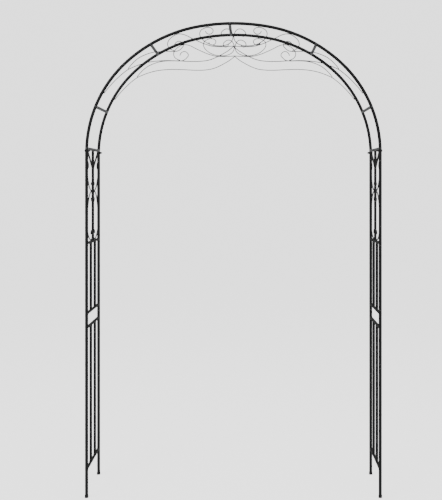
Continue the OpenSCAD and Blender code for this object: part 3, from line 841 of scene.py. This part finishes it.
def bead(bm, place, along, across, tube, reach, radius):
    """A weld bead round a bar of that radius: along is the bar's way to the tube, and across is
    square to both. The tube's middle is that reach from the place."""
    old = set(bm.verts)
    ring = new_ring(bm, BEAD_R, BEAD_SIDES, (radius + BEAD_OUT * BEAD_R, 0, 0), (0, 1, 0))
    bmesh.ops.spin(bm, geom=corners(ring) + ring, cent=(0, 0, 0), axis=(0, 0, 1), angle=2 * math.pi,
                   steps=BEAD_STEPS, use_merge=True)
    new = [vert for vert in bm.verts if vert not in old]
    place, along, across = Vector(place), Vector(along), Vector(across)
    bmesh.ops.transform(bm, matrix=standing(place, along), verts=new)
    for vert in new:
        spot = vert.co - place
        over = max(-CLEAR_OF_EDGE * tube, min(CLEAR_OF_EDGE * tube, spot.dot(across)))
        slide = reach - math.sqrt(tube ** 2 - over ** 2)
        ripple = RIPPLE * BEAD_R * noise.noise(vert.co * RIPPLES_PER_M)
        bmesh.ops.translate(bm, verts=[vert], vec=slide * along + ripple * spot.normalized())


# %% Weld the panels
lower_low, lower_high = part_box("right_lower_rails")
UP, DOWN = 1, -1
RAILS = [
    (lower_low.z + bar_r, DOWN), (lower_high.z - bar_r, UP),
    (rail_low.z + bar_r, DOWN), (mid_rail_z, UP),
]
ACROSS = (1, 0, 0)
bar_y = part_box("right_lower_bars")[1].y - bar_r
start = 3 * bar_r
for side_name, side in SIDES.items():
    bm = bmesh.new()
    x = side * leg_x
    for z, way in RAILS:
        for facing in (-1, 1):
            bead(bm, (x, 0, z), (0, facing, 0), ACROSS, tube_r, hoop_y["rear"], bar_r)
            bead(bm, (x, facing * bar_y, z - way * start), (0, 0, way), ACROSS, bar_r, start, bar_r)
    bead(bm, (x, 0, mid_rail_z + start), (0, 0, DOWN), ACROSS, bar_r, start, bar_r)
    crossbar_z = middle(f"{side_name}_panel_crossbar").z
    bead(bm, (x, 0, crossbar_z - start), (0, 0, UP), ACROSS, crossbar_r, start, bar_r)
    piece(f"{side_name}_panel_beads", bm, "black_coat", coat=weld_coat)
print("rails welded at", [round(z, 3) for z, _ in RAILS], "m")

# %% Tack the crest
LUMPS_PER_M, LUMPINESS = 700, 0.25
TACK_SHAPE = (1.0, 0.8, 1.0)
CREST_TACK_R, PANEL_TACK_R = 2.1 * MM, 2.6 * MM


def tack(bm, place, size, seed):
    """A tack weld: a ball of metal, a little flat and a little lumpy."""
    made = bmesh.ops.create_icosphere(bm, subdivisions=2, radius=size)["verts"]
    for vert in made:
        lump = noise.noise(vert.co * LUMPS_PER_M + Vector((seed, 0, 0)))
        bmesh.ops.scale(bm, verts=[vert], vec=(1 + LUMPINESS * lump,) * 3)
    bmesh.ops.scale(bm, verts=made, vec=TACK_SHAPE)
    bmesh.ops.translate(bm, verts=made, vec=place)


CREST_TACKS = [(0, 57), (124, 9), (60, 104.3), (268, 41), (292, 128), (516, 217), (634, 332), (0, 105)]
bm = bmesh.new()
for y in hoop_y.values():
    for side in SIDES.values():
        for number, spot in enumerate(crest(CREST_TACKS)):
            tack(bm, (side * spot.x, y, spot.y), CREST_TACK_R, number)
piece("crest_tacks", bm, "black_coat", coat=weld_coat)
print(len(CREST_TACKS) * 4, "tacks on the crest")

# %% Tack the panels
PANEL_TACKS = [(0.5, 33), (0.5, 223), (166, 110), (0.5, 284), (165.5, 374), (42, 256), (58, 7)]
FLARE_FOOT = 365 * MM
FLARE_SEED = 20
flare_low, flare_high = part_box("right_flared_bars")
flare_r = (flare_high.x - flare_low.x) / 2
foot = Vector((0, mid_rail_z + FLARE_FOOT))
head = Vector((hoop_y["rear"] - tube_r - flare_r, middle("right_panel_crossbar").z))
slope = (head.y - foot.y) / head.x
edge = flare_r * math.sqrt(1 + slope ** 2)
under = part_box("right_panel_crossbar")[0].z
flare_tacks = [Vector((bar_r, foot.y + slope * bar_r + way * edge)) for way in (DOWN, UP)]
flare_tacks += [Vector(((under - foot.y - way * edge) / slope, under)) for way in (DOWN, UP)]
for side_name, side in SIDES.items():
    bm = bmesh.new()
    x = side * leg_x
    for facing in (-1, 1):
        for number, (u, v) in enumerate(PANEL_TACKS):
            place = (x, facing * (bar_r + u * MM * bay_share), mid_rail_z + v * MM)
            tack(bm, place, PANEL_TACK_R, number)
        for number, spot in enumerate(flare_tacks):
            tack(bm, (x, facing * spot.x, spot.y), PANEL_TACK_R, number + FLARE_SEED)
    piece(f"{side_name}_panel_tacks", bm, "black_coat", coat=weld_coat)
print((len(PANEL_TACKS) + len(flare_tacks)) * 4, "tacks on the panels")

# %% [markdown]
# ## The parts that stay as they are
#
# A part whose shape is already right keeps its mesh and only gets its finish. The frame names a
# material slot for every part, so the finish is picked by that name.

# %% Finish the frame's own parts
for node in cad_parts.values():
    for slot in node.material_slots:
        slot.material = SLOT_FINISH[slot.material.name.split(".")[0]]
print("finishes put on", len(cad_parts), "parts")

# %% [markdown]
# ## The floor
#
# The arch stands on a plain pale floor that runs on to the horizon. It could be lit up to the sky's
# brightness, but then it would light the tubes from below. So it glows to the camera alone, by as
# much as it falls short of the sky, and no line shows where the two meet.

# %% Floor
FLOOR_TONE, FLOOR_ROUGH, FLOOR_SIZE = 0.85, 0.8, 300
sweep = bmesh.new()
bmesh.ops.create_grid(sweep, x_segments=1, y_segments=1, size=FLOOR_SIZE)
floor_mesh = bpy.data.meshes.new("floor")
sweep.to_mesh(floor_mesh)
sweep.free()
floor = bpy.data.objects.new("floor", floor_mesh)
scene.collection.objects.link(floor)
pale = bpy.data.materials.new("pale_floor")
pale.use_nodes = True
paint = pale.node_tree.nodes["Principled BSDF"]
paint.inputs["Base Color"].default_value = (FLOOR_TONE,) * 3 + (1,)
paint.inputs["Roughness"].default_value = FLOOR_ROUGH
paint.inputs["Emission Color"].default_value = (1, 1, 1, 1)
shortfall = SKY_SEEN - FLOOR_TONE * SKY_LIGHT
seen = add(pale.node_tree, "ShaderNodeLightPath").outputs["Is Camera Ray"]
glow = add(pale.node_tree, "ShaderNodeMath", {0: seen, 1: shortfall}, operation="MULTIPLY")
pale.node_tree.links.new(glow.outputs[0], paint.inputs["Emission Strength"])
floor_mesh.materials.append(pale)
print(f"floor glows by {shortfall:.2f} to the camera")
